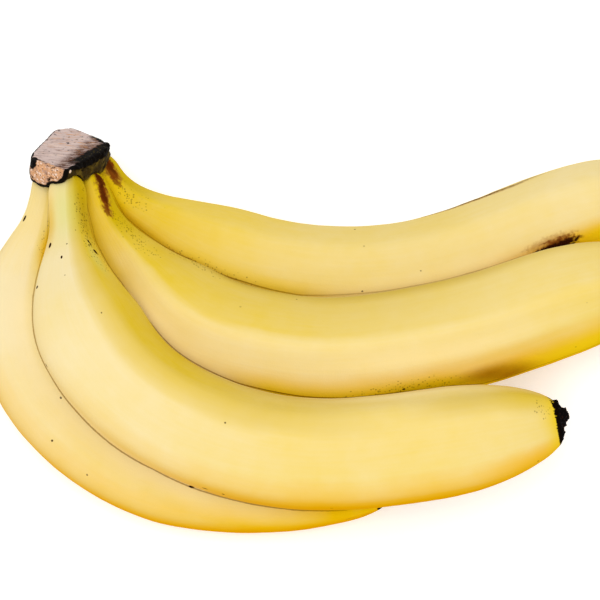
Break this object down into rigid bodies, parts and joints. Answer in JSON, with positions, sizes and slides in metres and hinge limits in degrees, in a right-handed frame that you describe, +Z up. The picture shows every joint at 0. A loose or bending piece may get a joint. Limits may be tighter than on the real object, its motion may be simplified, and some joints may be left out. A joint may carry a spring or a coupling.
{
  "type": "bunch of bananas",
  "caption": "Small hand of ripe yellow bananas, grown together on a cut crown and lying on its side, with curved ridged fingers and dried flower ends.",
  "frame": {"origin": "on the surface that the bunch lies on, under the middle of its bounding box", "axes": "+Z up, +X along the bunch from the crown's side to the tips, +Y towards the crown's cut face"},
  "size_m": [0.2534, 0.1406, 0.0743],
  "materials": {
    "peel": "satin, waxy banana peel",
    "crown_skin": "matte, dry and fibrous",
    "dried_flower": "matte, black and dried"
  },
  "bodies": {
    "root": {"crown": "crown_skin", "banana_1": "peel", "banana_2": "peel", "banana_3": "peel", "banana_4": "peel", "flower_end_1": "dried_flower", "flower_end_2": "dried_flower", "flower_end_3": "dried_flower", "flower_end_4": "dried_flower"}
  },
  "joints": []
}
